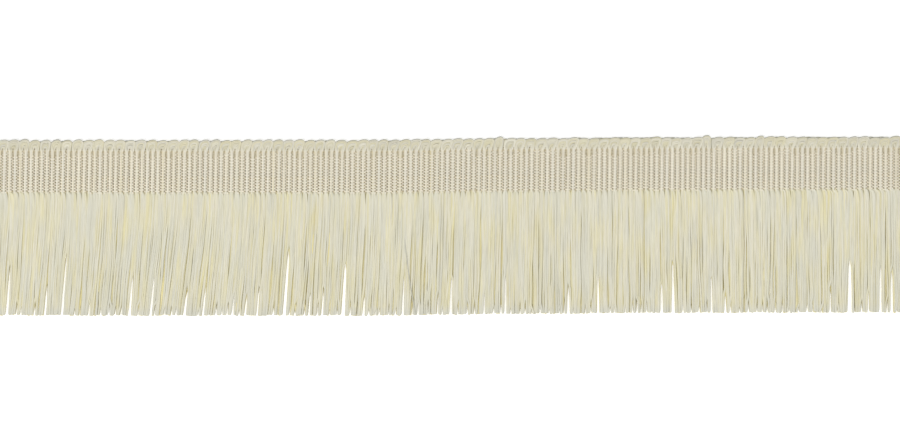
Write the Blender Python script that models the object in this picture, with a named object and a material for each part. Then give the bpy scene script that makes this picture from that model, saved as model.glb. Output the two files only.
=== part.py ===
"""A cut length of brush fringe trim, lying flat on a table with its heading away from the viewer.

X runs along the trim, +Y points from the cut hem to the heading and +Z is up.
The trim is woven in one pass: thick ivory yarns run across it. They turn back in loops along the upper edge,
fine warp threads bind them into the ribbed heading, and below it they hang free and are cut off level.
The three solids are the heading, the looped edge and the fringe, each with its own material.
"""

import math
import random

import bmesh
import bpy
from mathutils import Vector

MM = 0.001

# Overall sizes of a 2 1/2 inch trim
RIB_PITCH = 1.915 * MM
RIB_COUNT = 178
TRIM_LENGTH = RIB_COUNT * RIB_PITCH
HEADING_WIDTH = 16.2 * MM
LOOP_REACH = 3.7 * MM
SKIRT_DROP = 44.4 * MM

# Section of the heading
HEADING_THICKNESS = 1.6 * MM
RIB_RELIEF = 0.55 * MM
RIB_SHOULDERS = (0.27, 0.73)
LOWEST_CREST = 0.96
PIECE_GAP = 0.3 * MM

# Loops of the upper edge, one to every pair of ribs
RIBS_PER_LOOP = 2
LOOP_COUNT = RIB_COUNT // RIBS_PER_LOOP
LOOP_PITCH = TRIM_LENGTH / LOOP_COUNT
LOOP_THICKNESS = 1.75 * MM
LOOP_NOTCH = 0.95 * MM
LOOP_LEAN = 0.07 * LOOP_PITCH
LOWEST_LOOP = 0.86
LEAN_RANGE = (0.2, 1.6)
NOTCH_RANGE = (0.75, 1.15)

# Swelling of one loop along the trim: share of its pitch, share of its reach, share of its thickness
LOBE_ROWS = (
    # along, reach, thickness
    (0.2, 0.93, 0.95),
    (0.5, 1.0, 1.0),
    (0.84, 0.9, 0.9),
)
NOTCH_THICKNESS = 0.72

# Outline of the looped edge across the trim: share of its reach, share of its thickness
LOOP_SECTION_ROWS = (
    # reach, thickness
    (0.0, 0.0),
    (0.82, 0.0),
    (1.0, 0.5),
    (0.68, 1.0),
    (0.0, 0.75),
)

# Locks of the fringe, in two layers that lie staggered on each other
LOCK_COUNT = 300
LOCK_PITCH = TRIM_LENGTH / LOCK_COUNT
LOCK_WIDTH = 1.45 * MM
LOCK_HEIGHT = 1.05 * MM
LAYER_GAP = 0.1 * MM
ROOT_STRIP_WIDTH = 1.3 * MM
ROOT_BITE = 0.5 * MM
ROOT_CLEARANCE = 0.2 * MM
ROOT_LOCK_WIDTH = 1.3 * MM
ROOT_LOCK_HEIGHT = 0.5 * MM
ROOT_STRIP_STEPS = 12
HEM_UNEVENNESS = 0.35 * MM
LOCK_STATIONS = (0.0, 0.13, 0.62, 1.0)
LEAN_POWER = 1.25

SEED = 11

# Linear colours of the yarns, and how rough they are
WOVEN_COLOUR = (0.64, 0.58, 0.46)
WOVEN_ROUGHNESS = 0.75
LOOPED_COLOUR = (0.70, 0.67, 0.54)
LOOPED_ROUGHNESS = 0.6
LOOSE_COLOUR = (0.74, 0.70, 0.55)
LOOSE_ROUGHNESS = 0.55

# Edges that turn more than this stay sharp
SHARP_ANGLE = math.radians(50)

# The trim bends a little along its length, in mm: place along the trim, rise of its line
BOW_ROWS = (
    # x, rise
    (-172.0, -0.45),
    (-110.0, -0.62),
    (-30.0, -0.60),
    (24.0, 0.05),
    (75.0, 0.38),
    (128.0, 0.52),
    (172.0, 0.62),
)

# Sideways lean of the fringe at the hem, in mm: place along the trim, lean
LEAN_ROWS = (
    # x, lean
    (-172.0, -2.6),
    (-128.0, -3.2),
    (-91.0, -4.2),
    (-62.0, -3.0),
    (-36.0, -2.0),
    (0.0, -1.3),
    (36.0, -0.2),
    (91.0, 0.3),
    (128.0, 0.0),
    (172.0, 0.0),
)

# Partings between the clumps of the fringe, in mm: place at the hem, width at the hem, height that it reaches
PARTING_ROWS = (
    # x, width, height
    (-161.7, 1.1, 16.4),
    (-147.8, 0.7, 10.0),
    (-141.6, 0.9, 21.0),
    (-131.8, 0.5, 8.0),
    (-117.0, 0.9, 13.0),
    (-109.3, 0.8, 13.0),
    (-96.9, 0.7, 9.0),
    (-90.2, 0.6, 10.0),
    (-85.4, 0.5, 4.5),
    (-74.8, 0.5, 7.0),
    (-70.4, 0.5, 10.0),
    (-60.6, 1.6, 22.0),
    (-51.5, 0.6, 8.0),
    (-46.7, 0.4, 7.0),
    (-39.1, 1.3, 17.0),
    (-31.6, 0.5, 7.0),
    (-17.3, 0.7, 13.0),
    (-11.7, 0.5, 5.0),
    (0.2, 0.8, 12.0),
    (6.2, 0.4, 4.0),
    (12.4, 0.7, 8.0),
    (20.1, 1.1, 12.0),
    (32.9, 0.3, 3.0),
    (43.1, 1.1, 9.0),
    (54.0, 0.8, 12.0),
    (68.3, 0.4, 4.0),
    (77.2, 0.7, 10.0),
    (81.4, 1.5, 17.0),
    (95.4, 0.8, 12.0),
    (100.4, 0.6, 5.0),
    (115.7, 0.4, 4.0),
    (130.3, 0.4, 3.0),
    (138.7, 0.6, 9.0),
    (145.8, 2.0, 17.0),
    (157.0, 0.8, 16.0),
    (161.1, 1.5, 14.0),
)


def clear_scene():
    for item in list(bpy.data.objects):
        bpy.data.objects.remove(item)


def yarn_material(name, colour, roughness):
    material = bpy.data.materials.new(name)
    material.use_nodes = True
    shader = material.node_tree.nodes["Principled BSDF"]
    shader.inputs["Base Color"].default_value = (*colour, 1.0)
    shader.inputs["Roughness"].default_value = roughness
    shader.inputs["Metallic"].default_value = 0.0
    material.diffuse_color = (*colour, 1.0)
    return material


def read_rows(rows, x):
    """The second column of rows at x, eased between the rows on either side."""
    x_mm = x / MM
    if x_mm <= rows[0][0]:
        return rows[0][1] * MM
    for (x0, value0), (x1, value1) in zip(rows, rows[1:]):
        if x_mm <= x1:
            share = (x_mm - x0) / (x1 - x0)
            eased = share * share * (3 - 2 * share)
            return (value0 + (value1 - value0) * eased) * MM
    return rows[-1][1] * MM


def placed(x, y, z):
    """A point of the straight trim, moved to where the bent trim lies."""
    return Vector((x, y + read_rows(BOW_ROWS, x), z))


def opening(parting, share):
    """How far the lips of a parting stand from its middle, share of the way down the fringe."""
    _, width, height = parting
    start = 1 - height * MM / SKIRT_DROP
    open_share = max(0.0, (share - start) / (1 - start))
    overlap = LOCK_WIDTH - LOCK_PITCH
    return 0.5 * (width * MM + overlap) * open_share


def lock_x(root_x, share):
    """Place along the trim of the lock that starts at root_x, share of the way down the fringe."""
    hem_x = root_x + read_rows(LEAN_ROWS, root_x)
    drift = (hem_x - root_x) * share**LEAN_POWER
    hem_mm = hem_x / MM
    left = [row for row in PARTING_ROWS if row[0] <= hem_mm]
    right = [row for row in PARTING_ROWS if row[0] > hem_mm]
    if not left:
        return root_x + drift - opening(right[0], share)
    if not right:
        return root_x + drift + opening(left[-1], share)
    across = (hem_mm - left[-1][0]) / (right[0][0] - left[-1][0])
    push = (1 - across) * opening(left[-1], share) - across * opening(right[0], share)
    return root_x + drift + push


def object_from(name, mesh_builder, material):
    """A named object whose mesh is what mesh_builder holds."""
    bmesh.ops.recalc_face_normals(mesh_builder, faces=mesh_builder.faces[:])
    mesh = bpy.data.meshes.new(name)
    mesh_builder.to_mesh(mesh)
    mesh_builder.free()
    mesh.shade_smooth()
    mesh.set_sharp_from_angle(angle=SHARP_ANGLE)
    item = bpy.data.objects.new(name, mesh)
    item.data.materials.append(material)
    bpy.context.scene.collection.objects.link(item)
    return item


def loft(shaper, sections):
    """Adds a closed body through the sections, which all have the same number of points."""
    rings = [[shaper.verts.new(point) for point in section] for section in sections]
    corners = len(rings[0])
    for ring, following in zip(rings, rings[1:]):
        for corner in range(corners):
            beyond = (corner + 1) % corners
            shaper.faces.new((ring[corner], ring[beyond], following[beyond], following[corner]))
    shaper.faces.new(rings[0])
    shaper.faces.new(rings[-1])


def build_heading(material):
    """The woven band: flat back, one raised rib for each turn of the yarn."""
    shaper = bmesh.new()
    draw = random.Random(SEED)
    start_x = -TRIM_LENGTH / 2
    low_y, high_y = 0.0, HEADING_WIDTH
    back_low, back_high, front_low, front_high = [], [], [], []
    for rib in range(RIB_COUNT + 1):
        valley_x = start_x + rib * RIB_PITCH
        back_low.append(shaper.verts.new(placed(valley_x, low_y, 0)))
        back_high.append(shaper.verts.new(placed(valley_x, high_y, 0)))
        crest_z = HEADING_THICKNESS * draw.uniform(LOWEST_CREST, 1.0)
        profile = [(valley_x, HEADING_THICKNESS - RIB_RELIEF)]
        if rib < RIB_COUNT:
            profile += [(valley_x + part * RIB_PITCH, crest_z) for part in RIB_SHOULDERS]
        front_low.append([shaper.verts.new(placed(x, low_y, z)) for x, z in profile])
        front_high.append([shaper.verts.new(placed(x, high_y, z)) for x, z in profile])
    for rib in range(RIB_COUNT):
        low_line = front_low[rib] + front_low[rib + 1][:1]
        high_line = front_high[rib] + front_high[rib + 1][:1]
        for step in range(len(low_line) - 1):
            corners = (low_line[step], low_line[step + 1], high_line[step + 1], high_line[step])
            shaper.faces.new(corners)
        shaper.faces.new((back_low[rib], back_high[rib], back_high[rib + 1], back_low[rib + 1]))
        shaper.faces.new([back_low[rib], back_low[rib + 1], *reversed(low_line)])
        shaper.faces.new([back_high[rib + 1], back_high[rib], *high_line])
    for rib in (0, RIB_COUNT):
        end = (back_low[rib], front_low[rib][0], front_high[rib][0], back_high[rib])
        shaper.faces.new(end)
    return object_from("heading", shaper, material)


def loop_section(x, reach, thickness):
    """The closed section of the looped edge at x: flat below, rounded over its outer side."""
    base_y = HEADING_WIDTH + PIECE_GAP
    return [
        placed(x, base_y + reach * reach_share, thickness * thick_share)
        for reach_share, thick_share in LOOP_SECTION_ROWS
    ]


def build_looped_edge(material):
    """The turns of the yarn along the upper edge: leaning lobes on a narrow root, a notch between each two."""
    shaper = bmesh.new()
    draw = random.Random(SEED + 1)
    full = LOOP_REACH - PIECE_GAP
    notch_thickness = LOOP_THICKNESS * NOTCH_THICKNESS
    sections = []
    for lobe in range(LOOP_COUNT):
        start_x = lobe * LOOP_PITCH - TRIM_LENGTH / 2
        height = full * draw.uniform(LOWEST_LOOP, 1.0)
        lean = LOOP_LEAN * draw.uniform(*LEAN_RANGE)
        notch_reach = full - LOOP_NOTCH * draw.uniform(*NOTCH_RANGE)
        sections.append(loop_section(start_x, notch_reach, notch_thickness))
        for along, reach_share, thick_share in LOBE_ROWS:
            x = start_x + along * LOOP_PITCH + lean
            sections.append(loop_section(x, height * reach_share, LOOP_THICKNESS * thick_share))
    sections.append(loop_section(TRIM_LENGTH / 2, full - LOOP_NOTCH, notch_thickness))
    loft(shaper, sections)
    return object_from("looped_edge", shaper, material)


def lock_ring(index, share, hem_shift):
    """The three corners of a lock, share of the way down: a flat base and a ridge."""
    root_x = (index + 0.5) * LOCK_PITCH - TRIM_LENGTH / 2
    middle = lock_x(root_x, share)
    spread = lock_x(root_x + LOCK_PITCH, share) - lock_x(root_x - LOCK_PITCH, share)
    width = min(LOCK_WIDTH, LOCK_WIDTH * spread / (2 * LOCK_PITCH))
    height = LOCK_HEIGHT
    upper = index % 2 == 1
    base_z = LOCK_HEIGHT + LAYER_GAP if upper else 0.0
    y = -(ROOT_STRIP_WIDTH - ROOT_BITE) - share * (SKIRT_DROP - ROOT_STRIP_WIDTH + ROOT_BITE)
    if share == 0:
        width = ROOT_LOCK_WIDTH
        height = ROOT_LOCK_HEIGHT
        base_z = ROOT_CLEARANCE + (HEADING_THICKNESS / 2 - ROOT_CLEARANCE if upper else 0.0)
    if share == 1:
        y += hem_shift
    corners = ((-width / 2, 0.0), (width / 2, 0.0), (0.0, height))
    return [placed(middle + dx, y, base_z + dz) for dx, dz in corners]


def build_locks():
    """All locks of the fringe as closed three-sided prisms, in one mesh that the root strip is joined to."""
    shaper = bmesh.new()
    draw = random.Random(SEED + 2)
    for index in range(LOCK_COUNT):
        hem_shift = draw.uniform(-HEM_UNEVENNESS, HEM_UNEVENNESS)
        loft(shaper, [lock_ring(index, share, hem_shift) for share in LOCK_STATIONS])
    return shaper


def build_fringe(material):
    """The fringe: a narrow root strip along the heading's lower edge, with the locks grown into it."""
    shaper = bmesh.new()
    high_y = -PIECE_GAP
    low_y = -ROOT_STRIP_WIDTH
    outline = ((low_y, 0.0), (high_y, 0.0), (high_y, HEADING_THICKNESS), (low_y, HEADING_THICKNESS))
    sections = []
    for step in range(ROOT_STRIP_STEPS + 1):
        x = TRIM_LENGTH * (step / ROOT_STRIP_STEPS - 0.5)
        sections.append([placed(x, y, z) for y, z in outline])
    loft(shaper, sections)
    fringe = object_from("fringe", shaper, material)
    locks = object_from("fringe_locks_guide", build_locks(), material)
    locks.hide_render = True
    locks.display_type = "WIRE"
    union = fringe.modifiers.new("join_locks", "BOOLEAN")
    union.operation = "UNION"
    union.solver = "EXACT"
    union.object = locks
    return fringe, locks


def centre_over_origin(items):
    """Moves every object so that the middle of their common box stands on the origin."""
    bpy.context.view_layer.update()
    corners = [item.matrix_world @ vertex.co for item in items for vertex in item.data.vertices]
    middle_x = (min(c.x for c in corners) + max(c.x for c in corners)) / 2
    middle_y = (min(c.y for c in corners) + max(c.y for c in corners)) / 2
    for item in items:
        item.location = (-middle_x, -middle_y, 0.0)


def main():
    clear_scene()
    woven = yarn_material("woven_heading", WOVEN_COLOUR, WOVEN_ROUGHNESS)
    looped = yarn_material("looped_yarn", LOOPED_COLOUR, LOOPED_ROUGHNESS)
    loose = yarn_material("fringe_yarn", LOOSE_COLOUR, LOOSE_ROUGHNESS)
    heading = build_heading(woven)
    looped_edge = build_looped_edge(looped)
    fringe, locks = build_fringe(loose)
    centre_over_origin([heading, looped_edge, fringe, locks])


main()
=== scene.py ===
"""Looks of a cut length of brush fringe trim, lying flat and seen from straight above.

The trim is built the way it is woven. Ivory yarns run across it side by side and make its ribs. They turn
back in loops along the upper edge, fine beige warp threads pass over and under them through the heading, and
below it they hang free in three layers and are cut off level. Lengths are metres, X runs along the trim and
+Y points from the hem to the loops.
"""

import math

import bpy
import numpy as np
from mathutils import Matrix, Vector


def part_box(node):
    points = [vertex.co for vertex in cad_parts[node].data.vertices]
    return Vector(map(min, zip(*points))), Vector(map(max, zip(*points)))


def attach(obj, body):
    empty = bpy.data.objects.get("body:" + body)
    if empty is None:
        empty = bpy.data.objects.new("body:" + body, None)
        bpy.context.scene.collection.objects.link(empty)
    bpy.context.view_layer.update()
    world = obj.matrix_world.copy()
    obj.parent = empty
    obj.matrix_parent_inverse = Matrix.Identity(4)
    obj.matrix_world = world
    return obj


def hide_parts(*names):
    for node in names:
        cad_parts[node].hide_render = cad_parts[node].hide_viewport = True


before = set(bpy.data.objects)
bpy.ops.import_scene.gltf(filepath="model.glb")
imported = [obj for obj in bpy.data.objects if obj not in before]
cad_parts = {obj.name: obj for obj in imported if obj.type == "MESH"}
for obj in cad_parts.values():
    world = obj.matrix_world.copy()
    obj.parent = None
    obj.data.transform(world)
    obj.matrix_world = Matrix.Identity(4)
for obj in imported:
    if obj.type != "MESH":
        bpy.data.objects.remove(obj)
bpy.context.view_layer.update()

MM = 0.001

# Sizes that the solids have too
RIB_PITCH = 1.915 * MM
RIB_COUNT = 178
TRIM_LENGTH = RIB_COUNT * RIB_PITCH
HEADING_WIDTH = 16.2 * MM
LOOP_REACH = 3.7 * MM
SKIRT_DROP = 44.4 * MM
LEAN_POWER = 1.25

# The photograph's view: width in pixels, scale, real width, and middle across the trim
PICTURE_WIDTH = 900
MM_PER_PIXEL = 0.365
VIEW_WIDTH = PICTURE_WIDTH * MM_PER_PIXEL * MM
VIEW_MIDDLE_Y = -11.6 * MM

# The trim bends a little along its length, in mm: place along the trim, rise of its line
BOW_ROWS = (
    # x, rise
    (-172.0, -0.45),
    (-110.0, -0.62),
    (-30.0, -0.60),
    (24.0, 0.05),
    (75.0, 0.38),
    (128.0, 0.52),
    (172.0, 0.62),
)
LOWEST_BOW = -0.62 * MM

# Sideways lean of the fringe at the hem, in mm: place along the trim, lean
LEAN_ROWS = (
    # x, lean
    (-172.0, -2.6),
    (-128.0, -3.2),
    (-91.0, -4.2),
    (-62.0, -3.0),
    (-36.0, -2.0),
    (0.0, -1.3),
    (36.0, -0.2),
    (91.0, 0.3),
    (128.0, 0.0),
    (172.0, 0.0),
)

# Partings through all layers, in mm: place at the hem, width at the hem, height that it reaches
PARTING_ROWS = (
    # x, width, height
    (-161.7, 0.9, 16.4),
    (-156.6, 0.4, 3.0),
    (-147.8, 0.75, 11.0),
    (-141.6, 0.75, 21.0),
    (-131.8, 0.35, 5.0),
    (-117.0, 0.9, 13.0),
    (-109.3, 0.8, 13.0),
    (-100.0, 0.4, 3.0),
    (-96.9, 0.85, 9.0),
    (-90.2, 0.55, 10.0),
    (-85.4, 0.5, 4.5),
    (-79.4, 0.5, 6.0),
    (-74.8, 0.7, 7.0),
    (-70.4, 0.6, 10.0),
    (-60.6, 1.1, 22.0),
    (-56.6, 0.4, 4.0),
    (-51.5, 0.6, 8.0),
    (-46.7, 0.65, 9.0),
    (-39.1, 1.3, 17.0),
    (-31.6, 0.7, 7.0),
    (-25.9, 0.4, 3.0),
    (-17.3, 0.6, 13.0),
    (-11.7, 0.5, 5.0),
    (-4.6, 0.5, 6.0),
    (0.2, 0.7, 13.0),
    (6.2, 0.4, 4.0),
    (12.4, 0.45, 7.0),
    (20.1, 0.7, 12.0),
    (27.4, 0.4, 4.0),
    (32.9, 0.3, 3.0),
    (43.1, 0.9, 9.0),
    (54.0, 0.8, 12.0),
    (63.9, 0.4, 3.0),
    (68.3, 0.4, 4.0),
    (77.2, 0.85, 10.0),
    (81.4, 1.2, 17.0),
    (85.0, 0.4, 3.0),
    (95.4, 0.8, 12.0),
    (100.4, 0.75, 6.0),
    (108.8, 0.4, 4.0),
    (115.7, 0.4, 4.0),
    (123.7, 0.3, 3.0),
    (130.3, 0.4, 3.0),
    (138.7, 0.6, 9.0),
    (145.8, 1.6, 17.0),
    (152.6, 0.7, 6.0),
    (157.0, 0.8, 16.0),
    (161.1, 1.05, 14.0),
)

# How wide and how high the partings are, as a share of what their rows say
PARTING_WIDTH_SHARE = 0.93
PARTING_HEIGHT_SHARE = 1.15

# How a parting opens: a power of the way down it, and above it how fast and how far its lips give way
PARTING_POWER = 0.5
SHUT_RATE = 10
SHUT_ROOM = 1.2 * MM

# Rounds in which a parting's place without the lean is found from its place at the hem
LEAN_ROUNDS = 3

# Small notches between the partings: step, straying as a share of it, room beside a parting, sizes in mm
NOTCH_STEP = 3.0 * MM
NOTCH_SWING = 0.35
NOTCH_ROOM = 1.3 * MM
NOTCH_WIDTH = (0.15, 0.50)
NOTCH_HEIGHT = (1.0, 5.5)

# How the ribs differ from an even row, in mm. The slant is how far a rib's upper end stands to the right
RIB_ROWS = (
    # x, shift, slant
    (-172.0, -0.70, 0.42),
    (-126.0, -0.27, 0.38),
    (-90.0, -0.17, 0.33),
    (-57.0, -0.20, 0.29),
    (-11.0, 0.00, 0.24),
    (35.0, 0.08, 0.20),
    (58.0, -0.20, 0.19),
    (104.0, -0.53, 0.15),
    (150.0, -0.98, 0.11),
    (172.0, -1.15, 0.10),
)

# Form of the loops along the trim, lengths in mm. The power squares the arch, and the breadth is a share
LOOP_ROWS = (
    # x, power, overhang, notch, breadth
    (-172.0, 0.60, 0.3, 0.8, 1.15),
    (-128.0, 0.58, 0.5, 0.7, 1.15),
    (-85.0, 0.52, 0.8, 0.6, 1.17),
    (0.0, 0.48, 0.8, 0.45, 1.18),
    (60.0, 0.44, 0.75, 0.25, 1.2),
    (172.0, 0.44, 0.75, 0.2, 1.2),
)

# Loops that stand higher than their neighbours: places, how much higher they are, and breadth
PROUD_LOOPS = (18.1 * MM, 93.4 * MM, 113.2 * MM)
PROUD_RISE = 0.5 * MM
PROUD_BREADTH = 0.85

# Yarns of the ribs
YARNS_PER_RIB = 3
RIB_YARN_STEP = 0.35 * MM
RIB_YARN_WIDTH = 0.42 * MM
RIB_YARN_HEIGHT = 0.46 * MM
RIB_YARN_Z = 1.02 * MM
RIB_CROWN = 0.22 * MM
RIB_POINTS = 6
RIB_SIDES = 6
RIB_ROOT_LAP = 0.1 * MM
RIB_END_LAP = 0.3 * MM
RIB_END_SIZE = 0.94

# How much wider the ribs get towards the loops, and from where on
RIB_SPREAD = 0.34
RIB_SPREAD_START = 11.5 * MM

# How far the middle of a rib rises or sags, in mm, the tints of the ribs, and painted shade on their outer
# flanks
RIB_RISE = (-0.04, 0.03)
RIB_TINT = 0.5
RIB_FLANK_SHADE = 0.33
RIB_FLANK_CREAM = 0.85

# Yarns of the fringe where they hang free: size, spread of the widths, and how a width swells along its yarn
YARN_WIDTH = 0.84 * MM
YARN_HEIGHT = 0.24 * MM
YARN_WIDTHS = (0.85, 1.1)
YARN_SWELL = 0.1
SWELL_WAVES = (1, 3)

# Layers of the fringe: yarns of one rib and their shift in ribs, heights in mm, mesh sizes, and tints
LAYER_ROWS = (
    # name, per_rib, shift, root_z, hem_z, points, sides, shade, cream
    # the cream and lower shade of the back and middle layers are painted warm shade, seen between the front
    # yarns
    ("fringe_back", 3, 0.0, 0.44, 0.24, 14, 5, 0.96, 0.9),
    ("fringe_middle", 3, 0.5, 0.70, 0.60, 17, 6, 0.98, 0.6),
    ("fringe_front", 4, 0.0, 1.02, 0.92, 21, 6, 1.0, 0.0),
)

# Points of a hanging yarn near its root and near its cut end, as shares of its length
ROOT_SHARES = (0.0, 0.009, 0.02, 0.04, 0.07, 0.12)
CUT_START = 0.985
CUT_POINTS = 2

# How the yarns of a rib spread below the heading, as shares of their length. A part of it is a slower slit
SPREAD_START = 0.005
SPREAD_SHARES = (0.006, 0.014)
SLIT_SHARES = (0.02, 0.12)
SLIT_PARTS = (0.2, 0.6)

# Narrow partings of one layer, which open and close again: widths in mm, starts and lengths as shares
MINOR_PARTINGS = 150
MINOR_WIDTH = (0.08, 0.45)
MINOR_START = (-0.1, 0.7)
MINOR_LENGTH = (0.5, 1.6)
MINOR_REACH = 2.2 * MM
MINOR_POWER = 0.8

# Waves in the courses of the yarns
WANDERS = (
    # fewest, most, sideways in mm, upward in mm, whether the yarns of a rib share them
    (0.5, 1.6, 0.19, 0.03, True),
    (1.8, 3.4, 0.06, 0.04, True),
    (0.6, 2.4, 0.08, 0.04, False),
)
WANDER_POWER = 0.6

# Heights of the hanging yarns: where they have come down, how much they differ, and the least
SETTLED_SHARE = 0.35
HEIGHT_NOISE = 0.05 * MM
LOWEST_Z = 0.55 * YARN_HEIGHT

# Yarns that lie askew over their neighbours
ASKEW_SHARE = 0.15
ASKEW_REACH = 1.0 * MM
ASKEW_POWER = 1.6
ASKEW_LIFT = 0.12 * MM
ASKEW_LIFT_RATE = 3

# A rib's yarns draw into a lock towards the hem, and its side yarns get creamy painted shade on their outer
# flanks
LOCK_SQUEEZE = (0.0, 0.24)
LOCK_SIDE = 0.3
LOCK_FLANK_SHADE = 0.08
LOCK_FLANK_CREAM = 0.70
LOCK_FLANK_TOP = 0.30

# Roots, lips of the partings and cut ends
ROOT_TUCK = 0.5 * MM
LIP_NOISE = 0.1 * MM
CUT_UNEVENNESS = 0.16 * MM
HEM_WAVE = 0.1 * MM
HEM_WAVE_SCALE = 3.1 * MM

# Tints and painted shade of the fringe: what the yarns of a rib share, drifts along the yarns, and both ends
RIB_TONE_SHARE = 0.45
DRIFT_WAVES = (0.5, 2.4)
DRIFT_TINT = 0.30
DRIFT_SHADE = 0.016
# painted shade: the fringe is a little darker just below the heading and towards the hem
TOP_SHADE = 0.02
HEM_SHADE = 0.05
# painted shade at the roots of the inner layers: darker and creamier where they show in the slits below the
# heading
ROOT_REACH = 0.085
ROOT_STRENGTH = 1.6
ROOT_SHADE = 0.40
ROOT_CREAM = 0.85
CUT_GREY = 0.55

# Yarns that lie slantwise over the others, in mm: where each one starts and ends
STRAY_ROWS = (
    # x, y, hem_x, hem_y
    (-16.7, -12.5, -12.5, -44.3),
)
STRAY_POINTS = 16
STRAY_SIDES = 6
STRAY_WIDTH = 0.34 * MM
STRAY_BEND = 1.5
STRAY_START_Z = 0.7 * MM
STRAY_Z = 1.28 * MM
STRAY_RISE_POWER = 4
# the stray yarn is all grey and darker, painted shadow along the edge of a strand that lies on top
STRAY_TONE = (1.0, 0.0, 0.8)

# Warp threads of the heading
WARP_PITCH = 0.53 * MM
WARP_COUNT = 30
WARP_START = 0.22 * MM
WARP_WIDTH = 0.58 * MM
WARP_THINNING = 0.3
WARP_HEIGHT = 0.26 * MM
WARP_OVER_Z = 1.28 * MM
WARP_UNDER_Z = 0.50 * MM
WARP_SIDES = 5
WARP_GREY = 0.5
WARP_NOISE = 0.035 * MM
WARP_SHADES = (0.92, 1.05)

# Course of a thread over one rib: distance from its middle in mm, lift, share of the climb, tan, shade
CROSSING_ROWS = (
    # offset, lift, climb, tan, shade
    # tan: partly own colour, partly painted shade. shade: painted shade at the dives, faint painted
    # highlight on shoulders
    (-1.24, 0.05, 0.0, 1.0, 0.32),
    (-1.07, 0.54, 0.0, 0.7, 0.95),
    (-0.92, 0.86, 0.0, 0.25, 1.03),
    (-0.74, 1.0, 0.0, 0.0, 1.01),
    (-0.54, 0.97, 0.0, 0.0, 0.99),
    (-0.32, 0.82, -1.0, 0.0, 0.98),
    (0.32, 0.82, 1.0, 0.0, 0.98),
    (0.54, 0.97, 0.0, 0.0, 0.99),
    (0.74, 1.0, 0.0, 0.0, 1.01),
    (0.92, 0.86, 0.0, 0.25, 1.03),
    (1.07, 0.54, 0.0, 0.7, 0.95),
    (1.24, 0.05, 0.0, 1.0, 0.32),
)

# A thread under a rib and at the trim's ends: lift, climb, tan, shade; under a rib the shade is painted
# shade
UNDER_RIB = (0.0, 0.0, 1.0, 0.55)
AT_END = (0.45, 0.0, 1.0, 0.85)

# How far the threads climb as they cross a rib, in mm
CLIMB_RANGE = (-0.05, 0.20)

# Threads that sink between the ribs, counted from the lowest one: those above and those below these numbers
SUNK_FROM = (22.5, 28.0)
SUNK_BELOW = (-1.2, 1.2)
SUNK_FADE = 2.0
SUNK_LIFT = 0.40
# sunk threads turn tan and darker: partly their own colour, partly painted shade between the ribs
SUNK_SHADE = 0.84
SUNK_TAN = 0.42

# Loops of the upper edge
RIBS_PER_LOOP = 2
LOOP_COUNT = RIB_COUNT // RIBS_PER_LOOP
LOOP_POINTS = 17
LOOP_SIDES = 6
LOOP_WIDTH = 0.70 * MM
LOOP_HEIGHT = 0.26 * MM
LOOP_SIDE_THINNING = 0.5
LOOP_FOOT = 0.9 * MM

# Course of one turn: squareness of its sides, how soon and how sharply it widens, rise to the right
LOOP_SIDE_POWER = 0.75
LOOP_WIDENING_RATE = 1.25
LOOP_WIDENING_POWER = 1.4
LOOP_TILT = 0.06

# How the loops differ from one another: the drop of their tops in mm, and factors
LOOP_DROPS = (0.15, 0.5)
LOOP_OVERHANGS = (0.6, 1.25)
LOOP_NOTCHES = (0.5, 1.3)
LOOP_BREADTHS = (0.90, 1.08)
LOOP_YARN_HALVES = (0.95, 1.05)
LOOP_YARN_DEPTHS = (0.93, 1.07)

# Heights in a loop, in mm, and how soon a turn comes free of the ribs
LOOP_RIGHT_RISE = 0.04
LOOP_YARN_STEP_DOWN = 0.03
LOOP_HEIGHT_NOISE = 0.04
LOOP_SEAT_RATE = 1.8

# Tints of the loops. The outer side of each crest gets painted shadow in dark grey, most on the outermost
# yarn
LOOP_GREYS = (0.0, 0.1)
LOOP_CREAMS = (0.0, 0.9)
LOOP_SHADES = (0.93, 1.035)
LOOP_SHADE = 0.125
LOOP_TINT_RATE = 3.0
BACK_LOOP_CREAM = 0.2
OUTER_CREST_SHADE = 1.0
INNER_CREST_SHADE = 0.05
CREST_START = 0.72
CREST_FADE = 0.2
CREST_REACH = 0.15

# Yarns of one loop, in mm: place among the left rib's yarns, half width, depth below the loop's top
LOOP_YARN_ROWS = (
    # place, half, depth
    (-1.0, 1.93, 0.35),
    (-1.0, 1.60, 0.88),
    (0.0, 1.26, 1.42),
    (0.0, 0.93, 1.98),
    (1.0, 0.52, 2.50),
)

# Layers of the loops, the lower one first
LOOP_LAYERS = (
    # shift in ribs, height in mm
    (0, 0.80),
    (1, 1.10),
)

# How the tint of the yarns varies: how many neighbours are alike, and how strongly
TONE_BANDS = (
    # neighbours, strength
    (1, 0.55),
    (2, 0.45),
    (5, 0.35),
)

# Middle and spread of the shares of grey and cream, and of the shade
GREY_TONE = (0.28, 0.45)
CREAM_TONE = (0.13, 0.2)
SHADE_TONE = (0.985, 0.022)
LAYER_CREAM = 0.6
MOST_TINT = 0.75

# Parts of a yarn's tint; its shade part also carries painted shade
GREY, CREAM, SHADE = range(3)

# How far apart two yarns read the grain of their filaments, in mm
GRAIN_STEP = 37.0

# Ribbed ground of the heading
GROUND_PROFILE = (
    # part of the pitch, share of the height
    (0.0, 0.34),
    (0.24, 0.36),
    (0.32, 0.9),
    (0.5, 1.0),
    (0.68, 0.9),
    (0.76, 0.36),
)
GROUND_HEIGHT = 0.95 * MM
GROUND_END_Z = 0.5 * MM
GROUND_BASE_Z = 0.02 * MM
GROUND_LOW_Y = 0.05 * MM
GROUND_HIGH_Y = HEADING_WIDTH + 0.1 * MM
GROUND_CREASE = math.radians(60)
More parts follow.
